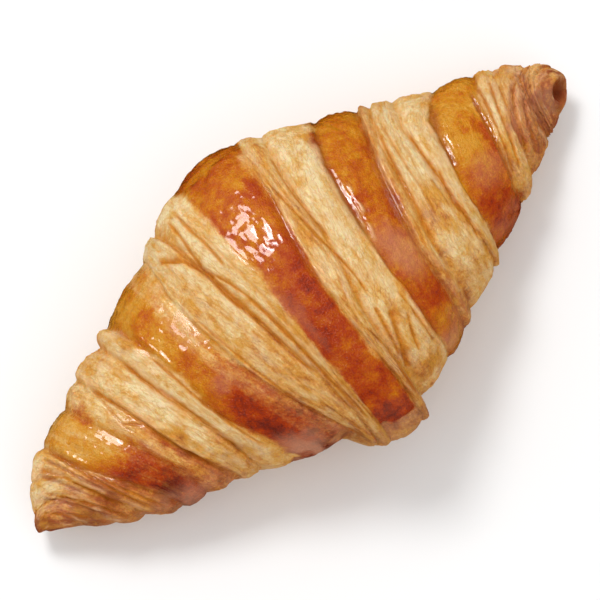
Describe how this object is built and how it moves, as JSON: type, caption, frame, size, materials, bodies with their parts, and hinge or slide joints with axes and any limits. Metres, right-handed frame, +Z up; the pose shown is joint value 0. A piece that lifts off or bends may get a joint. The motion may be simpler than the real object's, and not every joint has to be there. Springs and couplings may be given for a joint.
{
  "type": "croissant",
  "caption": "Straight butter croissant of rolled laminated dough, baked brown, with glossy bands between pale flaky layers and a flat underside to rest on.",
  "frame": {"origin": "on the surface it rests on, under the middle of the croissant's bounding box", "axes": "+X along the length, towards the end with the rolled-in spiral; -Y towards the front, where the raised strap of dough comes down; +Z up"},
  "size_m": [0.173, 0.0826, 0.0564],
  "materials": {
    "crust": "egg-washed baked crust, glossy brown on the bands and satin pale gold on the flaky layers between them"
  },
  "bodies": {
    "root": {"croissant": "crust"}
  },
  "joints": []
}
